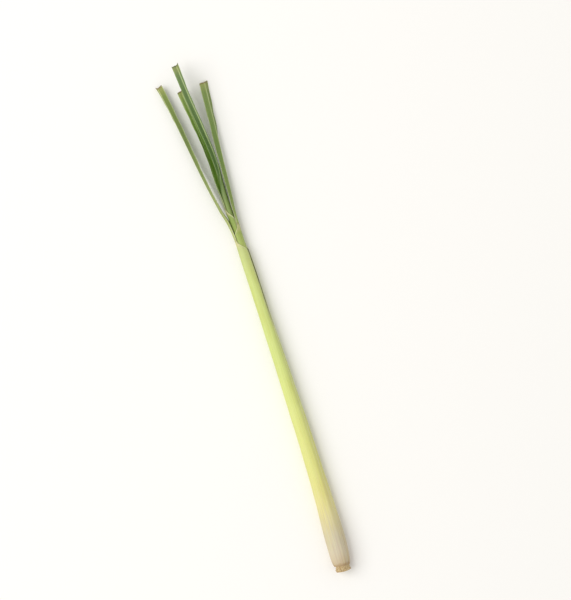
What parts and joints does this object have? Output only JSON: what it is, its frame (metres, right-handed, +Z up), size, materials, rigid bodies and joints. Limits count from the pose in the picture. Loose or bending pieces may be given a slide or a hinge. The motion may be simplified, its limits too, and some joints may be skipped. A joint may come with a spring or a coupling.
{
  "type": "lemongrass stalk",
  "caption": "Cut lemongrass stalk lying down: leaf sheaths rolled into a slim stem that swells to a bulb at the root crown and fans into narrow trimmed blades.",
  "frame": {"origin": "on the surface, under the bulb, on the flat strip that the stalk rests on, 36 mm from the cut face of the root", "axes": "+Y runs along the stalk from the root end to the leaf tips, +Z is up from the surface, +X is to the right seen from above with the tips up"},
  "size_m": [0.0468, 0.4796, 0.0213],
  "materials": {
    "root_crown": "woody, fibrous, dull, browned where it is cut",
    "outer_leaf": "fresh fleshy leaf, satin, lilac cream at the bulb, yellow green up the stem, green blade",
    "middle_leaf": "fresh leaf, satin, pale green sheath and green blade",
    "inner_leaf": "fresh leaf, satin, mid green with a pale margin",
    "heart_leaf": "fresh leaf, satin, bluish green"
  },
  "bodies": {
    "root": {"root_crown": "root_crown", "leaf_1": "outer_leaf", "leaf_2": "middle_leaf", "leaf_3": "inner_leaf", "heart_leaf": "heart_leaf"}
  },
  "joints": []
}
